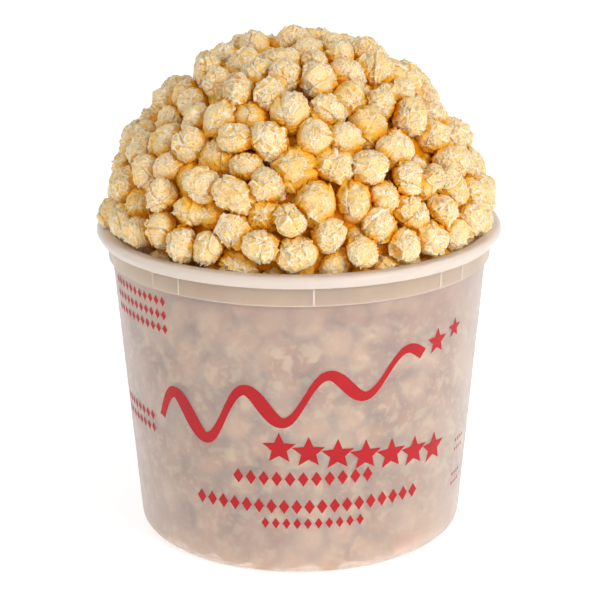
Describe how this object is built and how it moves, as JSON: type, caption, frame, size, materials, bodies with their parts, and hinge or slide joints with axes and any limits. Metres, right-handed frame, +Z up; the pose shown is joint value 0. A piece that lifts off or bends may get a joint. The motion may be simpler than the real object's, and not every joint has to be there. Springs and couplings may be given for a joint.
{
  "type": "bucket of popcorn",
  "caption": "Round, slightly tapered frosted plastic bucket with a rolled lip and hanging skirt, filled and heaped high with ball-shaped popcorn.",
  "frame": {"origin": "centre of the bucket's underside, on the surface it stands on", "axes": "+Z up along the bucket's axis, -Y towards the viewer of the printed front"},
  "size_m": [0.245, 0.245, 0.3065],
  "materials": {
    "frosted_plastic": "frosted, translucent, softly glossy",
    "popped_corn": "matte, pale cream yellow, porous"
  },
  "bodies": {
    "root": {"bucket": "frosted_plastic", "popcorn": "popped_corn"}
  },
  "joints": []
}
